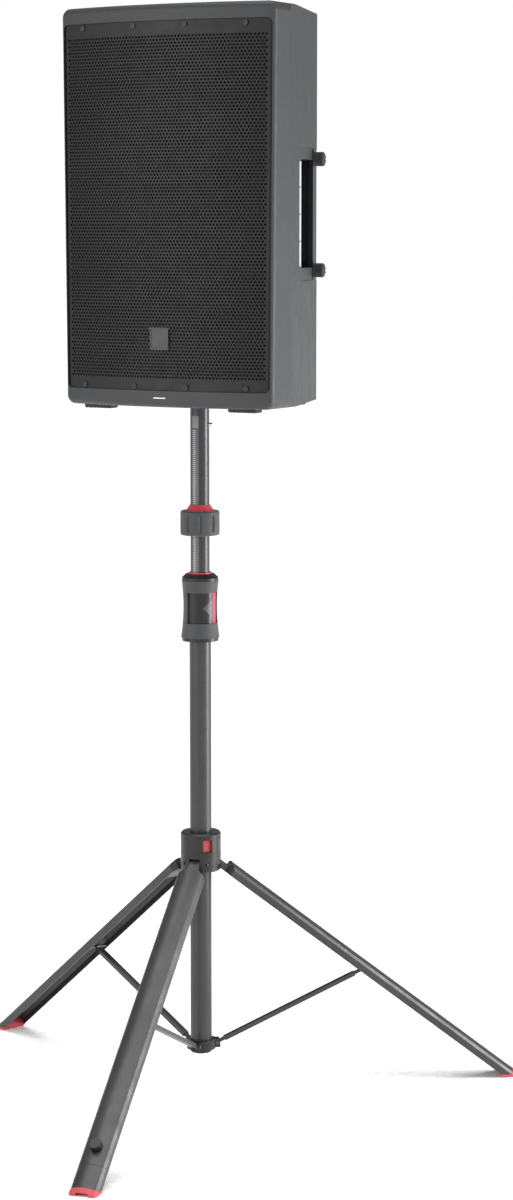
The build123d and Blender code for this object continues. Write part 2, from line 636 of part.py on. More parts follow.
def leg_section(width, top, low):
    """The leg's cross-section: a shallow crown over two flanks."""
    half = width / 2
    crown = ThreePointArc((-half + 4, top - 5), (0, top), (half - 4, top - 5))
    outline = Wire([crown, Line((half - 4, top - 5), (half, top - 10)), Line((half, top - 10), (half, low)),
                    Line((half, low), (-half, low)), Line((-half, low), (-half, top - 10)),
                    Line((-half, top - 10), (-half + 4, top - 5))])
    return Rot(0, 90, 0) * Rot(0, 0, 90) * make_face(outline)


def leg_channel(start, end, inset, low):
    """A length of the leg's outer shape, open or closed by what is cut from it."""
    section = leg_section(LEG_W - 2 * inset, LEG_TOP - inset, low)
    return Pos(start, 0, 0) * extrude(section, end - start, dir=(1, 0, 0))


def leg(end):
    outside = leg_channel(26, end, 0, -LEG_LOW)
    hollow = leg_channel(20, end + 5, LEG_WALL, -LEG_LOW - 5)
    web = Pos(42, 0, 2) * Box(34, LEG_W - 3, LEG_TOP + 4) & leg_channel(26, 60, 0, -LEG_LOW)
    body = outside - hollow + web
    for side in (-1, 1):
        shoulder = Pos(19.3, side * 24.5, 0) * Rot(0, 0, side * 52) * Box(60, 22, 60)
        body -= shoulder
    tongue = Pos(19, 0, 0) * Box(38, LEG_NECK, 2 * EYE_R - 1) + Rot(90, 0, 0) * Cylinder(EYE_R, LEG_NECK)
    body += tongue
    body -= Rot(90, 0, 0) * Cylinder(LEG_PIN_R + 0.03, 60)
    return body - Pos(BRACE_AT, 0, BRACE_DEPTH) * Rot(90, 0, 0) * Cylinder(BRACE_PIN_R + 0.04, 60)


def leg_with_knob_hole():
    body = leg(EXTENSION_JOINT)
    return body - Pos(KNOB_AT, 0, LEG_TOP) * Cylinder(3.1, 30)


def leg_extension():
    """The inner section that slides out of the front leg."""
    inner = leg_channel(EXTENSION_JOINT - 142, EXTENSION_JOINT, LEG_WALL + GAP, -LEG_LOW + 1)
    inner -= leg_channel(EXTENSION_JOINT - 150, EXTENSION_JOINT + 1, LEG_WALL + GAP + 1.8, -LEG_LOW - 4)
    end = leg_channel(EXTENSION_JOINT + 0.6, LEG_END, 0, -LEG_LOW)
    end -= leg_channel(EXTENSION_JOINT + 8, LEG_END + 5, LEG_WALL, -LEG_LOW - 5)
    end -= Pos(EXTENSION_JOINT, 0, -2) * Box(24, LEG_W - 2 * LEG_WALL, 21)
    link = leg_channel(EXTENSION_JOINT - 8, EXTENSION_JOINT + 8, LEG_WALL + GAP, -LEG_LOW)
    link &= Pos(EXTENSION_JOINT, 0, 14) * Box(20, LEG_W, 11)
    slot = Pos(KNOB_AT - 49, 0, 10) * Box(108, 7, 30)
    return inner + link + end - slot


def levelling_knob():
    cap = disc(11, 12)
    cap = fillet(cap.edges().sort_by(Axis.Z)[-1], 2)
    for flute in PolarLocations(12.6, 8):
        cap -= flute * Pos(0, 0, -1) * disc(3, 16)
    return Pos(KNOB_AT, 0, LEG_TOP + 0.4) * (cap + Pos(0, 0, -9) * disc(2.95, 10))


def above_sole(shape):
    """What is left of a leg once its end is cut level, clear of the sole."""
    return shape & (Pos(0, 0, 1000 + SOLE_T) * Box(2000, 2000, 2000))


def foot_cap(turn):
    """A red rubber shoe: a level sole, a toe beyond the metal and a plug inside the channel."""
    outside = leg_channel(LEG_END - 45, LEG_END + 40, -0.6, -LEG_LOW - 0.6)
    past_end = Pos(LEG_END + 50.1, 0, 0) * Box(100, 80, 80)
    plug = leg_channel(LEG_END - 16, LEG_END + 1, LEG_WALL + 0.05, -LEG_LOW)
    floor_up = Pos(0, 0, 50) * Box(2000, 2000, 100)
    sole = on_leg(turn) * outside & (Pos(0, 0, SOLE_T / 2 - 0.05) * Box(2000, 2000, SOLE_T - 0.1))
    toe = on_leg(turn) * (outside & past_end + plug) & floor_up
    shoe = (sole + toe) & (Pos(0, 0, 50) * Cylinder(TOE_R, 100))
    return shoe - turned(turn) * Pos(TOE_R, 0, 0) * Box(20, 22, 2 * SOLE_T)


def brace(turn):
    """The flat strut from the bottom collar to the leg, with stub pins at its outer end."""
    bar = Pos(BRACE_L / 2, 0, 0) * Box(BRACE_L - 34, BRACE_W, BRACE_T)
    bar -= Pos(BRACE_L / 2, 0, 4) * Box(BRACE_L - 60, BRACE_W - 4, BRACE_T)
    for x in (0, BRACE_L):
        bar += Pos(x, 0, 0) * Rot(90, 0, 0) * Cylinder(5, 8)
    bar += Pos(BRACE_L / 2, 0, 0) * Box(BRACE_L, 8, 5)
    bar += Pos(BRACE_L, 0, 0) * Rot(90, 0, 0) * Cylinder(BRACE_PIN_R, LEG_W - 0.6)
    bar -= Rot(90, 0, 0) * Cylinder(BRACE_PIN_R + 0.02, 20)
    return turned(turn) * Pos(COLLAR_R, 0, COLLAR_Z) * Rot(0, -BRACE_RISE, 0) * bar


def cabinet_nodes():
    nodes = {"front_baffle": front_baffle(), "rear_shell": rear_shell(), "side_handles": side_handles(),
             "side_pegs": side_pegs(), "grille": grille(), "grille_foam": grille_foam(),
             "grille_screws": grille_screws(), "badge": badge(), "light_bar": light_bar(),
             "woofer_frame": woofer_frame(), "woofer_screws": woofer_screws(),
             "woofer_surround": woofer_surround(), "woofer_cone": woofer_cone(), "dust_cap": dust_cap(),
             "voice_coil": voice_coil(), "woofer_spider": woofer_spider(), "woofer_magnet": woofer_magnet(),
             "horn": horn(), "compression_driver": compression_driver(), "port_tubes": port_tubes(),
             "pole_socket": pole_socket(), "cabinet_feet": cabinet_feet(), "amp_panel": amp_panel(),
             "heat_sink": heat_sink(), "amp_board": amp_board(), "input_jacks": input_jacks(),
             "power_inlet": power_inlet(), "power_switch": power_switch(), "select_button": panel_button()}
    for name, u in zip(("gain_knob_1", "gain_knob_2", "master_knob"), KNOB_US):
        nodes[name] = panel_knob(u)
    return nodes


def stand_nodes():
    nodes = {"base_tube": base_tube(), "base_plug": base_plug(), "bottom_collar": bottom_collar(),
             "lower_pins": lower_pins(), "clamp_core": clamp_core(), "clamp_ring": clamp_ring(),
             "clamp_panel": clamp_panel(), "clamp_flag": clamp_flag(), "clamp_sleeve": clamp_sleeve(),
             "mast_tube": mast_tube(), "mast_bush": mast_bush(), "safety_pin": safety_pin(),
             "stop_cone": stop_cone(), "stop_ring": stop_ring(), "hub_body": hub_body(),
             "hub_button": hub_button(), "leg_pins": leg_pins()}
    for name, turn in TURNS.items():
        nodes["foot_" + name] = foot_cap(turn)
        nodes["brace_" + name] = brace(turn)
    nodes["leg_front"] = on_leg(TURNS["front"]) * leg_with_knob_hole()
    nodes["leg_extension"] = above_sole(on_leg(TURNS["front"]) * leg_extension())
    nodes["levelling_knob"] = on_leg(TURNS["front"]) * levelling_knob()
    nodes["leg_right"] = above_sole(on_leg(TURNS["right"]) * leg(LEG_END))
    nodes["leg_left"] = above_sole(on_leg(TURNS["left"]) * leg(LEG_END))
    return nodes


def placed_in_frame(shape):
    """The piece moved so that the footprint's middle is at the origin, as a flat group of solids."""
    return Compound(children=[Pos(MAST_X, MAST_Y, 0) * solid for solid in shape.solids()])


os.makedirs("parts", exist_ok=True)
for name, shape in (cabinet_nodes() | stand_nodes()).items():
    export_step(placed_in_frame(shape), "parts/" + name + ".step")
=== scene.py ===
import json
from math import atan2, cos, degrees, hypot, pi, radians, sin, sqrt

import bpy
from mathutils import Matrix, Vector


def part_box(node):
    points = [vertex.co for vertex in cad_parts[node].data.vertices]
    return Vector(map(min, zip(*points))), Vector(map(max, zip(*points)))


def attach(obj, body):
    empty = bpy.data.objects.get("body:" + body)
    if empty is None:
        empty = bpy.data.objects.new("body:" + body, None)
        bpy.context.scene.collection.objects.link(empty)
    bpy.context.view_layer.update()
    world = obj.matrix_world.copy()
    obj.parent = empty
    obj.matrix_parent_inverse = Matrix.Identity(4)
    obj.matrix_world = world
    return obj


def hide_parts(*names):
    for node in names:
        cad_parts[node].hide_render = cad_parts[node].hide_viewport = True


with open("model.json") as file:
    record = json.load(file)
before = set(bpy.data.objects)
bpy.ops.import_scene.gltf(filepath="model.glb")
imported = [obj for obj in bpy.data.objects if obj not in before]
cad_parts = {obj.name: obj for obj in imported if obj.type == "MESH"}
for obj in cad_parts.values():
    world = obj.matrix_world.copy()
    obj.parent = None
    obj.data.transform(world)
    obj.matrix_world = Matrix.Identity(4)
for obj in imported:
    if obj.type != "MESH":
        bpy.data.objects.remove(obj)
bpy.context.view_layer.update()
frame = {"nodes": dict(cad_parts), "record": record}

# The looks of a powered loudspeaker on its tripod stand: metres, +Z up, floor at z = 0.
NODES = frame["nodes"]
MM = 0.001

# The upright everything is built round, and the turn of each leg from -Y towards +X
MAST_LOW, MAST_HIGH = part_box("mast_tube")
AXIS_X = (MAST_LOW.x + MAST_HIGH.x) / 2
AXIS_Y = (MAST_LOW.y + MAST_HIGH.y) / 2
MAST_R = (MAST_HIGH.x - MAST_LOW.x) / 2
CAMERA_TURN = 30.24        # the turn, from -Y towards +X, of the side that is looked at


def leg_turn(name):
    """A leg's turn from -Y towards +X, from where its foot stands."""
    low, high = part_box("foot_" + name)
    x = (low.x + high.x) / 2 - AXIS_X
    y = (low.y + high.y) / 2 - AXIS_Y
    return degrees(atan2(x, -y))


def about_mast(turn, radius, z):
    """The place at this turn and radius from the mast's axis, with +X pointing outwards."""
    spot = Matrix.Translation((AXIS_X, AXIS_Y, z)) @ Matrix.Rotation(radians(turn - 90), 4, "Z")
    return spot @ Matrix.Translation((radius, 0, 0))


# ---------------------------------------------------------------- materials

def node_of(tree, kind, **inputs):
    """A shader node with its inputs set by name, where a name may stand for a number too."""
    node = tree.nodes.new(kind)
    for name, value in inputs.items():
        node.inputs[name.replace("_", " ")].default_value = value
    return node


def noise(tree, space, scale, detail=4.0, rough=0.55, stretch=(1, 1, 1)):
    """Noise in object space, stretched along an axis where asked."""
    mapping = tree.nodes.new("ShaderNodeMapping")
    mapping.inputs["Scale"].default_value = stretch
    tree.links.new(space, mapping.inputs["Vector"])
    node = node_of(tree, "ShaderNodeTexNoise", Scale=scale, Detail=detail, Roughness=rough)
    tree.links.new(mapping.outputs["Vector"], node.inputs["Vector"])
    return node.outputs["Fac"]


def ramp(tree, value, low, high, start=0.3, end=0.7):
    """The value remapped to run between two numbers."""
    node = tree.nodes.new("ShaderNodeMapRange")
    node.inputs["From Min"].default_value = start
    node.inputs["From Max"].default_value = end
    node.inputs["To Min"].default_value = low
    node.inputs["To Max"].default_value = high
    tree.links.new(value, node.inputs["Value"])
    return node.outputs["Result"]


def blend_colours(tree, factor, first, second):
    """A mix of two colours, either of which may be another node's output."""
    node = tree.nodes.new("ShaderNodeMix")
    node.data_type = "RGBA"
    tree.links.new(factor, node.inputs["Factor"])
    for socket, colour in ((node.inputs[6], first), (node.inputs[7], second)):
        if isinstance(colour, tuple):
            socket.default_value = (*colour, 1.0)
        else:
            tree.links.new(colour, socket)
    return node.outputs[2]


def darker(colour, amount):
    return tuple(channel * amount for channel in colour)


def surface(name, colour, rough, metal=0.0, grain=900.0, grain_bump=0.15, depth=0.00012, patch=14.0,
            vary=0.22, rough_vary=0.08, stretch=(1, 1, 1), wear=0.0, wear_colour=(0.3, 0.3, 0.31),
            specular=0.5, coat=0.0, sheen=0.0, cells=False):
    """A worn, grained surface: colour patches, fine bumps, uneven gloss and paler edges."""
    material = bpy.data.materials.new(name)
    material.use_nodes = True
    tree = material.node_tree
    shader = tree.nodes["Principled BSDF"]
    space = tree.nodes.new("ShaderNodeTexCoord").outputs["Object"]
    patches = ramp(tree, noise(tree, space, patch, 5.0), 0.0, 1.0, 0.35, 0.65)
    base = blend_colours(tree, patches, darker(colour, 1 - vary), darker(colour, 1 + vary))
    fine = noise(tree, space, grain, 3.0, 0.6, stretch)
    speckle = ramp(tree, fine, 0.0, 0.35, 0.45, 0.75)
    base = blend_colours(tree, speckle, base, darker(colour, 1.9))
    if wear:
        edges = tree.nodes.new("ShaderNodeNewGeometry").outputs["Pointiness"]
        sharp = ramp(tree, edges, 0.0, wear, 0.53, 0.60)
        base = blend_colours(tree, sharp, base, wear_colour)
    tree.links.new(base, shader.inputs["Base Color"])
    smudges = noise(tree, space, patch * 5, 4.0, 0.6, stretch)
    gloss = ramp(tree, smudges, rough - rough_vary, rough + rough_vary)
    tree.links.new(gloss, shader.inputs["Roughness"])
    shader.inputs["Metallic"].default_value = metal
    shader.inputs["Specular IOR Level"].default_value = specular
    shader.inputs["Coat Weight"].default_value = coat
    shader.inputs["Sheen Weight"].default_value = sheen
    relief = fine
    if cells:
        voronoi = node_of(tree, "ShaderNodeTexVoronoi", Scale=grain)
        tree.links.new(space, voronoi.inputs["Vector"])
        relief = voronoi.outputs["Distance"]
    bump = node_of(tree, "ShaderNodeBump", Strength=grain_bump, Distance=depth)
    tree.links.new(relief, bump.inputs["Height"])
    tree.links.new(bump.outputs["Normal"], shader.inputs["Normal"])
    return material


def make_materials():
    """Every material by the record's slot name, with a few extra finishes for details."""
    return {
        "cabinet_plastic": surface("cabinet_plastic", (0.028, 0.0295, 0.0325), 0.46, grain=1500,
                                   grain_bump=0.5, depth=0.0003, patch=5, vary=0.08, rough_vary=0.05,
                                   cells=True, specular=0.4),
        "grille_steel": surface("grille_steel", (0.0105, 0.0098, 0.0098), 0.5, grain=2200, grain_bump=0.25,
                                depth=0.00008, patch=9, vary=0.18, specular=0.3),
        "black_foam": surface("black_foam", (0.006, 0.006, 0.006), 0.95, grain=700, grain_bump=0.9,
                              depth=0.0008, sheen=0.1, cells=True, specular=0.1),
        "black_screw": surface("black_screw", (0.014, 0.014, 0.015), 0.38, metal=0.3, grain=1800,
                               specular=0.4),
        "badge_metal": surface("badge_metal", (0.028, 0.027, 0.028), 0.36, metal=0.4, grain=1400,
                               stretch=(14, 1, 1), grain_bump=0.12),
        "light_lens": surface("light_lens", (0.85, 0.87, 0.9), 0.35, grain=700, grain_bump=0.05, vary=0.04),
        "driver_steel": surface("driver_steel", (0.045, 0.045, 0.048), 0.4, metal=0.5, grain=900, wear=0.3),
        "cone_paper": surface("cone_paper", (0.028, 0.028, 0.028), 0.8, grain=500, grain_bump=0.6,
                              depth=0.0004, stretch=(1, 1, 3)),
        "soft_rubber": surface("soft_rubber", (0.024, 0.024, 0.026), 0.72, grain=600, grain_bump=0.5,
                               depth=0.0003, vary=0.25, cells=True, specular=0.35),
        "horn_plastic": surface("horn_plastic", (0.02, 0.02, 0.022), 0.42, grain=1200, grain_bump=0.2),
        "coil_copper": surface("coil_copper", (0.7, 0.34, 0.17), 0.3, metal=1.0, grain=1500,
                               stretch=(1, 8, 1), grain_bump=0.4),
        "panel_metal": surface("panel_metal", (0.03, 0.03, 0.033), 0.5, grain=1700, grain_bump=0.35,
                               depth=0.0001, wear=0.3),
        "heat_sink_aluminium": surface("heat_sink_aluminium", (0.05, 0.05, 0.055), 0.42, metal=0.8, grain=900,
                                       stretch=(6, 6, 1), wear=0.5, wear_colour=(0.35, 0.35, 0.36)),
        "board_green": surface("board_green", (0.02, 0.12, 0.05), 0.35, grain=300, grain_bump=0.3, coat=0.4),
        "jack_plastic": surface("jack_plastic", (0.018, 0.018, 0.02), 0.28, grain=1300, grain_bump=0.1),
        "knob_plastic": surface("knob_plastic", (0.03, 0.03, 0.032), 0.55, grain=1500, grain_bump=0.3),
        "stand_metal": surface("stand_metal", (0.039, 0.0375, 0.039), 0.36, metal=0.35, grain=1300,
                               grain_bump=0.2, depth=0.0001, patch=7, vary=0.12, rough_vary=0.06,
                               stretch=(1, 1, 0.25)),
        "mast_metal": surface("mast_metal", (0.036, 0.0345, 0.037), 0.33, metal=0.4, grain=1300,
                              stretch=(1, 1, 0.08), grain_bump=0.22, depth=0.0001, patch=9, vary=0.15),
        "hub_plastic": surface("hub_plastic", (0.0105, 0.010, 0.010), 0.36, grain=1100, grain_bump=0.25,
                               specular=0.4),
        "grip_rubber": surface("grip_rubber", (0.042, 0.043, 0.045), 0.62, grain=1000, grain_bump=0.5,
                               depth=0.0002, patch=18, vary=0.12, sheen=0.15, cells=True, specular=0.4),
        "red_plastic": surface("red_plastic", (0.48, 0.040, 0.055), 0.4, grain=900, grain_bump=0.08,
                               vary=0.08),
        "red_rubber": surface("red_rubber", (0.47, 0.050, 0.062), 0.55, grain=700, grain_bump=0.35,
                              depth=0.0002, vary=0.14),
        "window_plastic": surface("window_plastic", (0.008, 0.008, 0.009), 0.36, grain=400, grain_bump=0.03,
                                  coat=0.1, vary=0.05, rough_vary=0.04, specular=0.35),
        "pin_chrome": surface("pin_chrome", (0.72, 0.73, 0.75), 0.16, metal=1.0, grain=1600, grain_bump=0.1),
        "pin_head": surface("pin_head", (0.10, 0.10, 0.105), 0.35, metal=0.7, grain=1600, grain_bump=0.1),
        "satin_facet": surface("satin_facet", (0.075, 0.075, 0.077), 0.42, metal=0.3, grain=1500,
                               grain_bump=0.1, stretch=(1, 1, 6)),
        "pale_print": surface("pale_print", (0.34, 0.34, 0.345), 0.6, grain=1500, grain_bump=0.05),
        "tab_print": surface("tab_print", (0.16, 0.16, 0.158), 0.5, grain=900, grain_bump=0.06),
        "label_print": surface("label_print", (0.085, 0.084, 0.083), 0.5, grain=1500, grain_bump=0.05),
        # Near-black for the hub's dark seams; also used as painted shade for the spare pin hole and the screw
        # recesses.
        "seam_black": surface("seam_black", (0.006, 0.006, 0.006), 0.6, grain=900, grain_bump=0.1),
        "lamp_green": surface("lamp_green", (0.05, 0.35, 0.10), 0.25, grain=600, grain_bump=0.05, coat=0.5),
        "contact_brass": surface("contact_brass", (0.75, 0.6, 0.32), 0.25, metal=1.0, grain=1500),
    }


def paint_nodes(materials):
    """Gives each CAD node the finish of its slot in the record."""
    for entry in frame["record"]["subparts"]:
        node = NODES[entry["node"]]
        node.data.materials.clear()
        node.data.materials.append(materials[entry["material_slot"]])


# ---------------------------------------------------------------- mesh helpers

def piece(name, vertices, faces, material, body, smooth=True, sharp=35.0):
    """A mesh object that rides on a body."""
    mesh = bpy.data.meshes.new(name)
    mesh.from_pydata([tuple(v) for v in vertices], [], faces)
    mesh.validate()
    mesh.update()
    obj = bpy.data.objects.new(name, mesh)
    bpy.context.scene.collection.objects.link(obj)
    mesh.materials.append(material)
    if smooth:
        mesh.shade_smooth()
        mesh.set_sharp_from_angle(angle=radians(sharp))
    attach(obj, body)
    return obj


def lathe_faces(rows, steps, closed=True):
    """Quads between rows of points that go once round."""
    faces = []
    last = len(rows) - 1 if not closed else len(rows)
    for row in range(last):
        for step in range(steps):
            after = (step + 1) % steps
            here, below = row * steps, (row + 1) % len(rows) * steps
            faces.append((here + step, here + after, below + after, below + step))
    return faces


def lathe(profile, place, steps=48):
    """Vertices and faces of a profile of (radius, height) turned about the place's +Z."""
    vertices = []
    for radius, height in profile:
        for step in range(steps):
            angle = 2 * pi * step / steps
            vertices.append(place @ Vector((radius * cos(angle), radius * sin(angle), height)))
    return vertices, lathe_faces(profile, steps, closed=False)


def join(parts):
    """Several (vertices, faces) lists as one."""
    vertices, faces = [], []
    for part_vertices, part_faces in parts:
        start = len(vertices)
        vertices += part_vertices
        faces += [tuple(start + i for i in face) for face in part_faces]
    return vertices, faces


def dome(radius, height, place, steps=24, rise=5):
    """A low domed head on a short skirt, closed at the top."""
    profile = [(radius * 0.98, -0.3 * height), (radius, 0.0)]
    for i in range(1, rise + 1):
        angle = pi / 2 * i / rise
        profile.append((max(radius * cos(angle), radius * 0.02), height * sin(angle)))
    vertices, faces = lathe(profile, place, steps)
    vertices.append(place @ Vector((0, 0, height)))
    top = len(vertices) - 1
    ring = (len(profile) - 1) * steps
    faces += [(ring + i, ring + (i + 1) % steps, top) for i in range(steps)]
    faces.append(tuple(reversed(range(steps))))
    return vertices, faces


def slab(outline, depth, place):
    """A flat plate: an outline of (x, y) points in the place's plane, thickened along its +Z."""
    count = len(outline)
    vertices = [place @ Vector((x, y, 0)) for x, y in outline]
    vertices += [place @ Vector((x, y, depth)) for x, y in outline]
    faces = [tuple(reversed(range(count))), tuple(range(count, 2 * count))]
    faces += [(i, (i + 1) % count, count + (i + 1) % count, count + i) for i in range(count)]
    return vertices, faces


def block(width, deep, high, place, edge=0.0):
    """A bar with its long corners cut off, centred on the place."""
    x, y = width / 2, deep / 2
    cut = edge if edge else min(x, y) * 0.2
    outline = [(-x + cut, -y), (x - cut, -y), (x, -y + cut), (x, y - cut),
               (x - cut, y), (-x + cut, y), (-x, y - cut), (-x, -y + cut)]
    return slab(outline, high, place @ Matrix.Translation((0, 0, -high / 2)))


# ---------------------------------------------------------------- grille

PITCH = 6.75 * MM          # between holes along a row
HOLE_R = 2.3 * MM
HOLE_SIDES = 12
SHEET_T = 1.5 * MM
PLAIN_SHEET_T = 1.6 * MM   # of the plain sheet that this one stands in for
ROW = PITCH * sqrt(3) / 2  # between rows
SIDE_BAND = 7.5 * MM       # unperforated sheet beside the holes
TOP_BAND, LOW_BAND = 19.0 * MM, 16.0 * MM
ROLL = 5.0 * MM            # how far the side edges roll back
CORNER = 9.5 * MM
LEAN_IN = 4.6 * MM         # how much further in each side is at the foot than at the top
SIDE_STEPS, BAND_STEPS = 8, 6
SNAP = 1e7                 # corners that round to the same number of these per metre are one


def bowed_place(point, half_width, sag, front_y, middle_x, lean):
    """Puts a point (u, z, depth) of the flat sheet onto the bowed front."""
    u, z, depth = point
    radius = (half_width ** 2 + sag ** 2) / (2 * sag)
    u = u * lean(z)
    back = radius - sqrt(radius ** 2 - u ** 2)
    past = max(0.0, abs(u) - (half_width * lean(z) - SIDE_BAND * 0.6)) / (SIDE_BAND * 0.6)
    back += ROLL * (1 - sqrt(max(0.0, 1 - min(past, 1.0) ** 2)))
    return (middle_x + u, front_y + back + depth, z)


class FlatSheet:
    """Faces of a flat sheet with shared corners."""

    def __init__(self):
        self.index = {}
        self.points = []
        self.faces = []

    def corner(self, u, z):
        key = (round(u * SNAP), round(z * SNAP))
        if key not in self.index:
            self.index[key] = len(self.points)
            self.points.append((u, z))
        return self.index[key]

    def add(self, *corners):
        face = [self.corner(u, z) for u, z in corners]
        if len(set(face)) == len(face):
            self.faces.append(tuple(face))


def hexagon_ring(u, z):
    """Twelve points round a hole's cell: its corners and the middles of its sides."""
    ring = []
    for i in range(HOLE_SIDES):
        angle = 2 * pi * i / HOLE_SIDES
        reach = PITCH / 2 if i % 2 == 0 else PITCH / sqrt(3)
        ring.append((u + reach * cos(angle), z + reach * sin(angle)))
    return ring


def hole_ring(u, z):
    angles = [2 * pi * i / HOLE_SIDES for i in range(HOLE_SIDES)]
    return [(u + HOLE_R * cos(angle), z + HOLE_R * sin(angle)) for angle in angles]


def row_filler(sheet, u, z, side):
    """The blank half cell at the end of a shorter row."""
    points = [(u, z - PITCH / sqrt(12)), (u + side * PITCH / 4, z - PITCH * sqrt(3) / 4),
              (u + side * PITCH / 2, z - PITCH / sqrt(3)), (u + side * PITCH / 2, z - PITCH / sqrt(12)),
              (u + side * PITCH / 2, z), (u + side * PITCH / 2, z + PITCH / sqrt(12)),
              (u + side * PITCH / 2, z + PITCH / sqrt(3)), (u + side * PITCH / 4, z + PITCH * sqrt(3) / 4),
              (u, z + PITCH / sqrt(12)), (u, z)]
    sheet.add(*(points if side > 0 else reversed(points)))


def perforated_rows(sheet, first, last, low_z, half_count):
    """The holes of some rows, with blank half cells where a row is short."""
    for row in range(first, last):
        z = low_z + row * ROW
        short = row % 2 == 1
        start = -half_count + (0.5 if short else 0.0)
        count = 2 * half_count + (0 if short else 1)
        for i in range(count):
            u = (start + i) * PITCH
            outer, inner = hexagon_ring(u, z), hole_ring(u, z)
            for k in range(HOLE_SIDES):
                after = (k + 1) % HOLE_SIDES
                sheet.add(outer[k], outer[after], inner[after], inner[k])
        if short:
            row_filler(sheet, half_count * PITCH, z, 1)
            row_filler(sheet, -half_count * PITCH, z, -1)


def side_levels(first, last, low_z):
    """Heights of the corners along the perforated field's straight side."""
    levels = []
    for row in range(first, last):
        z = low_z + row * ROW
        if row % 2 == 0:
            levels += [z - PITCH / sqrt(12), z, z + PITCH / sqrt(12)]
        else:
            levels += [z - PITCH / sqrt(3), z - PITCH / sqrt(12), z]
            levels += [z + PITCH / sqrt(12), z + PITCH / sqrt(3)]
    return sorted(set(round(level, 8) for level in levels))


def spaced(start, end, count):
    return [start + (end - start) * i / count for i in range(count + 1)]


def grid(sheet, us, zs):
    for u0, u1 in zip(us, us[1:]):
        for z0, z1 in zip(zs, zs[1:]):
            sheet.add((u0, z0), (u1, z0), (u1, z1), (u0, z1))


def zigzag(z, half_count, up):
    """Corners along the ragged edge of an end row, which is a long one."""
    points = []
    for i in range(-half_count, half_count + 1):
        u = i * PITCH
        for du, dz in ((-0.5, sqrt(1 / 12)), (-0.25, sqrt(3) / 4), (0, sqrt(1 / 3)), (0.25, sqrt(3) / 4)):
            points.append((u + du * PITCH, z + up * dz * PITCH))
    points.append(((half_count + 0.5) * PITCH, z + up * PITCH * sqrt(1 / 12)))
    return points


def end_band(sheet, edge_z, row_z, half_count, outer_u, up):
    """The blank band above or below the holes, with its corners."""
    ragged = zigzag(row_z, half_count, up)
    shelf = row_z + up * PITCH
    for (u0, z0), (u1, z1) in zip(ragged, ragged[1:]):
        quad = [(u0, z0), (u1, z1), (u1, shelf), (u0, shelf)]
        sheet.add(*(quad if up > 0 else reversed(quad)))
    levels = spaced(min(shelf, edge_z), max(shelf, edge_z), BAND_STEPS)
    grid(sheet, [u for u, _ in ragged], levels)
    inner_u = (half_count + 0.5) * PITCH
    corner_levels = sorted(levels + [row_z + up * PITCH * sqrt(1 / 12)])
    for us in (spaced(inner_u, outer_u, SIDE_STEPS), spaced(-outer_u, -inner_u, SIDE_STEPS)):
        grid(sheet, us, corner_levels)


def round_corner(u, z, outer_u, low, high):
    """Draws a corner's points in to the corner's arc."""
    du = abs(u) - (outer_u - CORNER)
    dz = max(low + CORNER - z, z - (high - CORNER))
    reach = hypot(du, dz)
    if du <= 0 or dz <= 0 or reach == 0:
        return u, z
    square = max(du, dz) / reach
    scale = 1 + (square - 1) * (max(du, dz) / CORNER)
    u = (1 if u > 0 else -1) * (outer_u - CORNER + du * scale)
    middle = low + CORNER if z < (low + high) / 2 else high - CORNER
    return u, middle + (1 if z > middle else -1) * dz * scale


def thicken(sheet, settle):
    """A closed sheet: front, back and a wall along every open edge."""
    count = len(sheet.points)
    front = [settle(u, z, 0.0) for u, z in sheet.points]
    back = [settle(u, z, SHEET_T) for u, z in sheet.points]
    edges = {}
    for face in sheet.faces:
        for a, b in zip(face, face[1:] + face[:1]):
            edges[(a, b)] = True
    faces = list(sheet.faces)
    faces += [tuple(count + i for i in reversed(face)) for face in sheet.faces]
    faces += [(b, a, count + a, count + b) for a, b in edges if (b, a) not in edges]
    return front + back, faces


def make_grille(material, bands=4):
    """The perforated steel grille, in bands so that no one mesh is too heavy."""
    low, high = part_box("grille")
    middle_x = (low.x + high.x) / 2
    half_width = (high.x - low.x) / 2
    height = high.z - low.z
    sag = high.y - low.y - PLAIN_SHEET_T

    def lean(z):
        return 1 - LEAN_IN * (high.z - z) / height / half_width

    half_count = int((half_width - SIDE_BAND) / PITCH - 0.5)
    row_count = int((height - TOP_BAND - LOW_BAND) / ROW)
    row_count -= 1 - row_count % 2
    low_z = low.z + LOW_BAND + (height - TOP_BAND - LOW_BAND - (row_count - 1) * ROW) / 2
    splits = [round(row_count * band / bands) for band in range(bands + 1)]

    def settle(u, z, depth):
        u, z = round_corner(u, z, half_width, low.z, high.z)
        return bowed_place((u, z, depth), half_width, sag, low.y, middle_x, lean)

    for band in range(bands):
        sheet = FlatSheet()
        first, last = splits[band], splits[band + 1]
        perforated_rows(sheet, first, last, low_z, half_count)
        levels = side_levels(first, last, low_z)
        inner_u = (half_count + 0.5) * PITCH
        grid(sheet, spaced(inner_u, half_width, SIDE_STEPS), levels)
        grid(sheet, spaced(-half_width, -inner_u, SIDE_STEPS), levels)
        if band == 0:
            end_band(sheet, low.z, low_z, half_count, half_width, -1)
        if band == bands - 1:
            end_band(sheet, high.z, low_z + (row_count - 1) * ROW, half_count, half_width, 1)
        vertices, faces = thicken(sheet, settle)
        made = piece("grille_band_%d" % (band + 1), vertices, faces, material, "cabinet", sharp=30)
        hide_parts("grille")


# ---------------------------------------------------------------- stand details

RING_BORE = 24.1 * MM
RING_EDGE = 3.0 * MM       # radius of its rounded edges
HOLLOWS = 9                # round the ring
HOLLOW_HALF_LENGTH = 17.5 * MM
HOLLOW_HALF_WIDTH = 0.18   # as a share of the way to the next one
HOLLOW_DEPTH = 3.4 * MM


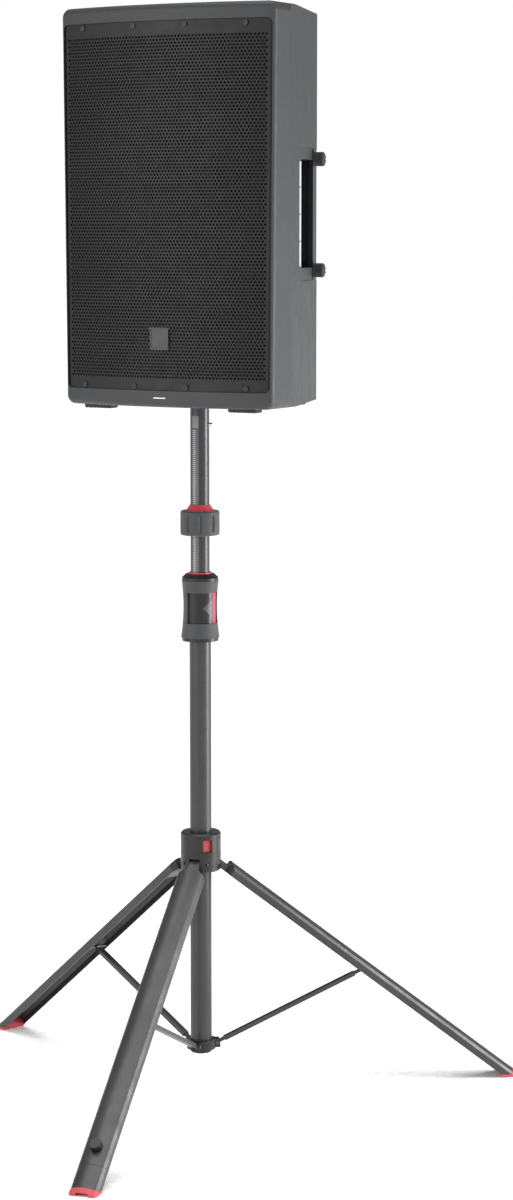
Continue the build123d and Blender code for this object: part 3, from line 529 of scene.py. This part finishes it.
def make_stop_ring(material):
    """The hand ring: a soft barrel with lens-shaped hollows round it."""
    low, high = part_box("stop_ring")
    radius = (high.x - low.x) / 2
    height = high.z - low.z
    steps, rows = 360, 44
    first_hollow = CAMERA_TURN - 90 + 3
    points = []

    def outer(angle, t):
        from_edge = RING_EDGE - min(min(t, 1 - t) * height, RING_EDGE)
        r = radius - (RING_EDGE - sqrt(max(0.0, RING_EDGE ** 2 - from_edge ** 2)))
        z = (t - 0.5) * height / HOLLOW_HALF_LENGTH
        phase = ((angle - radians(first_hollow)) * HOLLOWS / (2 * pi) + 0.5) % 1.0 - 0.5
        if abs(z) >= 1:
            return r
        half = HOLLOW_HALF_WIDTH * (1 - z * z)
        inside = max(0.0, 1 - abs(phase) / half)
        return r - HOLLOW_DEPTH * inside ** 0.8 * (1 - z * z) ** 0.4

    for row in range(rows + 1):
        t = row / rows
        for step in range(steps):
            angle = 2 * pi * step / steps
            r = outer(angle, t)
            points.append(Vector((AXIS_X + r * cos(angle), AXIS_Y + r * sin(angle), low.z + t * height)))
    for z in (high.z, low.z):
        for step in range(steps):
            angle = 2 * pi * step / steps
            points.append(Vector((AXIS_X + RING_BORE * cos(angle), AXIS_Y + RING_BORE * sin(angle), z)))
    faces = lathe_faces(range(rows + 3), steps)
    made = piece("stop_grip_ring", points, faces, material, "stop_grip", sharp=50)
    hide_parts("stop_ring")


def wrapped(turns, heights, radius, thick):
    """A thin plate round a tube: at each turn its lower and upper height."""
    count = len(turns)
    vertices = []
    for r in (radius, radius + thick):
        for row in (0, 1):
            for turn, pair in zip(turns, heights):
                vertices.append(about_mast(turn, r, pair[row]).translation)
    inner, outer = 0, 2 * count
    faces = []
    for k in range(count - 1):
        faces.append((outer + k, outer + k + 1, outer + count + k + 1, outer + count + k))
        faces.append((inner + k, inner + count + k, inner + count + k + 1, inner + k + 1))
        faces.append((inner + k, inner + k + 1, outer + k + 1, outer + k))
        faces.append((inner + count + k, outer + count + k, outer + count + k + 1, inner + count + k + 1))
    for k in (0, count - 1):
        faces.append((inner + k, inner + count + k, outer + count + k, outer + k))
    return vertices, faces


LABEL_FROM, LABEL_TO = 210 * MM, 44 * MM   # above the mast's foot and below the cabinet's socket
TAB_GAP, TAB_HIGH = 1.5 * MM, 24 * MM
RUNG_STEP, RUNG_HIGH = 3.6 * MM, 1.5 * MM
PRINT_SUNK = 0.1 * MM


def make_mast_scale(materials):
    """A height scale down the mast: a dark label, short pale rungs and a blank tab at its top."""
    middle = CAMERA_TURN - 31
    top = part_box("pole_socket")[0].z
    label_low, label_high = MAST_LOW.z + LABEL_FROM, top - LABEL_TO
    turns = [middle + turn for turn in spaced(-22, 24, 10)]
    label = wrapped(turns, [(label_low, label_high)] * len(turns), MAST_R - PRINT_SUNK, 0.16 * MM)
    piece("mast_label", *label, materials["label_print"], "mast")
    tab_span = (label_high + TAB_GAP, label_high + TAB_HIGH)
    tab = wrapped(turns, [tab_span] * len(turns), MAST_R - PRINT_SUNK, 0.25 * MM)
    piece("mast_tab", *tab, materials["tab_print"], "mast")
    rungs = []
    turns = [middle + turn for turn in spaced(-16, 4, 4)]
    count = int((label_high - label_low) / RUNG_STEP)
    for i in range(count):
        z = label_low + (i + 0.5) * RUNG_STEP
        rungs.append(wrapped(turns, [(z, z + RUNG_HIGH)] * len(turns), MAST_R, 0.12 * MM))
    piece("mast_rungs", *join(rungs), materials["pale_print"], "mast")


LEGS = ("front", "right", "left")
PIN_OUT = 28.5 * MM        # from the mast's axis to the pins of the hub and the collar


def pin_heads(pins, half_span, radius, height, steps):
    """A domed head on both ends of each leg's pin."""
    low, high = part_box(pins)
    heads = []
    for name in LEGS:
        place = about_mast(leg_turn(name), PIN_OUT, (low.z + high.z) / 2)
        for side in (-1, 1):
            end = place @ Matrix.Translation((0, side * half_span, 0))
            heads.append(dome(radius, height, end @ Matrix.Rotation(-side * pi / 2, 4, "X"), steps))
    return join(heads)


def make_pivot_heads(material):
    """Domed heads on the pins of the hub and of the bottom collar."""
    hub = pin_heads("leg_pins", 23.6 * MM, 2.9 * MM, 1.4 * MM, steps=24)
    piece("hub_pin_heads", *hub, material, "hub")
    collar = pin_heads("lower_pins", 8.3 * MM, 3.6 * MM, 1.3 * MM, steps=18)
    piece("collar_pin_heads", *collar, material, "base")


ARROW_STEPS = 16
ARROW_TIP, ARROW_RISE = 0.3, 19   # half heights at the tip and beyond it at the tail, in mm
ARROW_R, ARROW_T = 28.1 * MM, 0.42 * MM


def make_window_mark(material):
    """The raised arrow facet on the clamp's dark panel, pointing to the left."""
    low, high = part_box("clamp_panel")
    middle = (low.z + high.z) / 2 + 1.0 * MM
    turns = [CAMERA_TURN + turn for turn in spaced(11, 53.5, ARROW_STEPS)]
    halves = [(ARROW_TIP + ARROW_RISE * i / ARROW_STEPS) * MM for i in range(ARROW_STEPS + 1)]
    facet = wrapped(turns, [(middle - half, middle + half) for half in halves], ARROW_R, ARROW_T)
    piece("panel_arrow", *facet, material, "base", sharp=20)


FACING_OUT = Matrix.Rotation(pi / 2, 4, "Y")   # turns +Z to a place's +X
SEAM_STEPS = 72
SEAM_GAP = 3 * MM          # between the hub's button and its seams
SPARE_HOLE_DROP = 66 * MM  # from the safety pin


def make_hub_seams(material):
    """A raised seam ring above and below the hub's button."""
    low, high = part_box("hub_body")
    radius = (high.x - low.x) / 2
    button_low, button_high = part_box("hub_button")
    profile = [(radius - 0.5 * MM, -0.7 * MM), (radius + 0.25 * MM, -0.45 * MM),
               (radius + 0.25 * MM, 0.45 * MM), (radius - 0.5 * MM, 0.7 * MM)]
    last = (len(profile) - 1) * SEAM_STEPS
    seams = []
    for z in (button_low.z - SEAM_GAP, button_high.z + SEAM_GAP):
        vertices, faces = lathe(profile, Matrix.Translation((AXIS_X, AXIS_Y, z)), SEAM_STEPS)
        for i in range(SEAM_STEPS):
            after = (i + 1) % SEAM_STEPS
            faces.append((last + i, last + after, after, i))
        seams.append((vertices, faces))
    piece("hub_seams", *join(seams), material, "hub")


def make_small_fittings(materials):
    """The stop's locking screw, and a near-black disc of painted shade that stands in for the spare pin hole
    in the mast.
    """
    low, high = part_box("stop_ring")
    spot = about_mast(CAMERA_TURN + 55, (high.x - low.x) / 2 - 0.6 * MM, high.z - 9 * MM)
    screw = dome(4.2 * MM, 0.9 * MM, spot @ FACING_OUT)
    slot_spot = spot @ Matrix.Translation((1.0 * MM, 0, 0)) @ FACING_OUT
    slot_bar = block(6 * MM, 1.1 * MM, 0.6 * MM, slot_spot)
    piece("stop_screw", *screw, materials["black_screw"], "stop_grip")
    piece("stop_screw_slot", *slot_bar, materials["label_print"], "stop_grip", smooth=False)

    pin_low, pin_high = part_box("safety_pin")
    middle = (pin_low + pin_high) / 2
    turn = degrees(atan2(middle.x - AXIS_X, AXIS_Y - middle.y))
    spot = about_mast(turn, MAST_R - 0.25 * MM, middle.z - SPARE_HOLE_DROP) @ FACING_OUT
    # Painted shade: the spare pin hole is not cut; a thin near-black dome stands in for the shade inside it.
    hole = dome(3.1 * MM, 0.4 * MM, spot)
    piece("mast_spare_hole_painted_shade", *hole, materials["seam_black"], "mast")


STUDS = 10                 # round each peg
PEG_R = 13 * MM
STUD_RING_R, STUD_IN = 12.6 * MM, 5.5 * MM


def make_rubber_studs(material):
    """A ring of small studs on each rubber peg's rim."""
    studs = []
    low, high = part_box("side_pegs")
    for side in (-1, 1):
        edge = high.x if side > 0 else low.x
        for z in (low.z + PEG_R, high.z - PEG_R):
            for i in range(STUDS):
                angle = 2 * pi * i / STUDS
                spot = Matrix.Translation((edge - side * STUD_IN, (low.y + high.y) / 2, z))
                spot = spot @ Matrix.Rotation(angle, 4, "X") @ Matrix.Translation((0, 0, STUD_RING_R))
                studs.append(dome(1.5 * MM, 0.7 * MM, spot, steps=12, rise=3))
    piece("peg_studs", *join(studs), material, "cabinet")


# ---------------------------------------------------------------- rear panel

def on_panel(u, z, out=0.0):
    """A place on the amplifier panel, with +Z out of it to the rear."""
    low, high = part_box("amp_panel")
    spot = Matrix.Translation(((low.x + high.x) / 2 + u, high.y + out, z))
    return spot @ Matrix.Rotation(-pi / 2, 4, "X")


def centre_of(node):
    low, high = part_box(node)
    return (low + high) / 2


KNOBS = (("gain_knob_1", "knob_1", "gain_1"), ("gain_knob_2", "knob_2", "gain_2"),
         ("master_knob", "knob_3", "master"))
TICKS, TICK_TURN, FIRST_TICK = 11, 30, -150   # round each knob, in degrees
TICK_R = 13 * MM
SCREW_IN, SCREW_END, SCREW_GAPS = 6 * MM, 9 * MM, 4   # from the panel's side and end, gaps per side
LAMPS = (-34, -26, -18, 18, 26, 34)           # in mm from the panel's middle
JACKS = (-42, 0, 42)
CONTACT_DEEP, CONTACT_R = 9 * MM, 3.6 * MM


def make_dials(material):
    """Ticks round each knob and a pointer on its face."""
    middle_x = centre_of("amp_panel").x
    ticks = []
    for node, body, name in KNOBS:
        centre = centre_of(node)
        for i in range(TICKS):
            angle = radians(FIRST_TICK + TICK_TURN * i)
            spot = on_panel(centre.x - middle_x, centre.z, 0.05 * MM) @ Matrix.Rotation(angle, 4, "Z")
            ticks.append(block(0.7 * MM, 2.6 * MM, 0.2 * MM, spot @ Matrix.Translation((0, -TICK_R, 0))))
        face = Matrix.Translation((centre.x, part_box(node)[1].y, centre.z)) @ Matrix.Rotation(-pi / 2, 4, "X")
        pointer = block(1.3 * MM, 6 * MM, 0.3 * MM, face @ Matrix.Translation((0, -4.6 * MM, 0.05 * MM)))
        piece(name + "_pointer", *pointer, material, body, smooth=False)
    piece("dial_ticks", *join(ticks), material, "cabinet", smooth=False)


def make_panel_details(materials):
    """Screws with crosses of painted shade for their recesses, lamps and jack contacts on the rear panel."""
    low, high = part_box("amp_panel")
    heads, painted_recess_shade = [], []
    reach = (high.x - low.x) / 2 - SCREW_IN
    for u in (-reach, reach):
        for z in spaced(low.z + SCREW_END, high.z - SCREW_END, SCREW_GAPS):
            heads.append(dome(3.4 * MM, 1.3 * MM, on_panel(u, z)))
            # Painted shade: a flat near-black cross on each screw's dome stands in for the shade in its
            # recess, which is not cut.
            painted_recess_shade.append(block(4.0 * MM, 0.9 * MM, 0.4 * MM, on_panel(u, z, 1.35 * MM)))
            painted_recess_shade.append(block(0.9 * MM, 4.0 * MM, 0.4 * MM, on_panel(u, z, 1.35 * MM)))
    piece("panel_screws", *join(heads), materials["black_screw"], "cabinet")
    piece("panel_screw_recess_painted_shade", *join(painted_recess_shade), materials["seam_black"], "cabinet", smooth=False)

    button = centre_of("select_button")
    lamps = [dome(1.6 * MM, 0.9 * MM, on_panel(u * MM, button.z), steps=16) for u in LAMPS]
    piece("status_lamps", *join(lamps), materials["lamp_green"], "cabinet")

    jacks_low, jacks_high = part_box("input_jacks")
    contacts = []
    for u in JACKS:
        jack = on_panel(u * MM, (jacks_low.z + jacks_high.z) / 2, -CONTACT_DEEP)
        for angle in (0, 120, 240):
            spot = jack @ Matrix.Rotation(radians(angle), 4, "Z") @ Matrix.Translation((0, -CONTACT_R, 0))
            contacts.append(dome(0.9 * MM, 0.8 * MM, spot, steps=12))
    piece("jack_contacts", *join(contacts), materials["contact_brass"], "cabinet")


# ---------------------------------------------------------------- stage

ROOM_LIGHT = 0.32          # from all round
FLOOR_R, FLOOR_DROP = 60, 0.001
SUN_POWER, SUN_SOFTNESS = 2.6, 60
LENS, SENSOR = 85.5, 36
CAMERA_FROM_MAST = (2.6217, -4.4971)
CAMERA_HIGH = 1.6119
CAMERA_DOWN, CAMERA_HEADING = 7.41, 29.10


def make_floor():
    """A pale floor without an edge in sight."""
    floor_material = surface("floor_paper", (0.92, 0.92, 0.92), 0.9, grain=60, grain_bump=0.03, patch=0.8,
                             vary=0.005, specular=0.05)
    bpy.ops.mesh.primitive_circle_add(vertices=96, radius=FLOOR_R, fill_type="NGON",
                                      location=(0, 0, -FLOOR_DROP))
    floor = bpy.context.object
    floor.name = "floor"
    floor.data.materials.append(floor_material)


def make_room():
    """Even light all round, behind a white backdrop."""
    world = bpy.data.worlds.new("studio")
    bpy.context.scene.world = world
    world.use_nodes = True
    tree = world.node_tree
    tree.nodes.clear()
    path = tree.nodes.new("ShaderNodeLightPath")
    seen = node_of(tree, "ShaderNodeBackground", Color=(1, 1, 1, 1), Strength=1.0)
    light = node_of(tree, "ShaderNodeBackground", Color=(0.96, 0.98, 1, 1), Strength=ROOM_LIGHT)
    mix = tree.nodes.new("ShaderNodeMixShader")
    out = tree.nodes.new("ShaderNodeOutputWorld")
    tree.links.new(path.outputs["Is Camera Ray"], mix.inputs["Fac"])
    tree.links.new(light.outputs["Background"], mix.inputs[1])
    tree.links.new(seen.outputs["Background"], mix.inputs[2])
    tree.links.new(mix.outputs["Shader"], out.inputs["Surface"])


def area_light(name, turn, distance, z, size, power, aim_z=1.1):
    """A rectangular light at this turn and distance from the mast, aimed at a height on it."""
    data = bpy.data.lights.new(name, "AREA")
    data.shape = "RECTANGLE"
    data.size, data.size_y = size
    data.energy = power
    obj = bpy.data.objects.new(name, data)
    place = Vector((AXIS_X + distance * sin(radians(turn)), AXIS_Y - distance * cos(radians(turn)), z))
    obj.location = place
    obj.rotation_euler = (Vector((AXIS_X, AXIS_Y, aim_z)) - place).to_track_quat("-Z", "Y").to_euler()
    bpy.context.scene.collection.objects.link(obj)


def make_lights():
    area_light("strip_right", CAMERA_TURN + 84, 3.2, 1.0, (0.9, 2.4), 120, aim_z=0.9)
    area_light("fill_left", CAMERA_TURN - 55, 4.5, 2.2, (3.0, 3.0), 95)
    area_light("fill_front", CAMERA_TURN + 12, 5.5, 3.6, (3.0, 2.0), 60)
    data = bpy.data.lights.new("overhead", "SUN")
    data.energy = SUN_POWER
    data.angle = radians(SUN_SOFTNESS)
    overhead = bpy.data.objects.new("overhead", data)
    bpy.context.scene.collection.objects.link(overhead)


def make_camera():
    """The camera, in front and to the right, looking slightly down."""
    data = bpy.data.cameras.new("camera")
    data.sensor_width = SENSOR
    data.lens = LENS
    data.clip_end = 200
    camera = bpy.data.objects.new("camera", data)
    camera.location = (AXIS_X + CAMERA_FROM_MAST[0], AXIS_Y + CAMERA_FROM_MAST[1], CAMERA_HIGH)
    camera.rotation_euler = (radians(90 - CAMERA_DOWN), 0, radians(CAMERA_HEADING))
    bpy.context.scene.collection.objects.link(camera)
    bpy.context.scene.camera = camera
    bpy.context.scene.view_settings.view_transform = "Standard"


def make_stage():
    make_floor()
    make_room()
    make_lights()
    make_camera()


def main():
    materials = make_materials()
    paint_nodes(materials)
    for node in NODES.values():
        node.data.shade_smooth()
        node.data.set_sharp_from_angle(angle=radians(30))
    make_grille(materials["grille_steel"])
    make_stop_ring(materials["grip_rubber"])
    make_mast_scale(materials)
    make_pivot_heads(materials["pin_head"])
    make_window_mark(materials["satin_facet"])
    make_hub_seams(materials["seam_black"])
    make_small_fittings(materials)
    make_rubber_studs(materials["soft_rubber"])
    make_dials(materials["pale_print"])
    make_panel_details(materials)
    make_stage()


main()
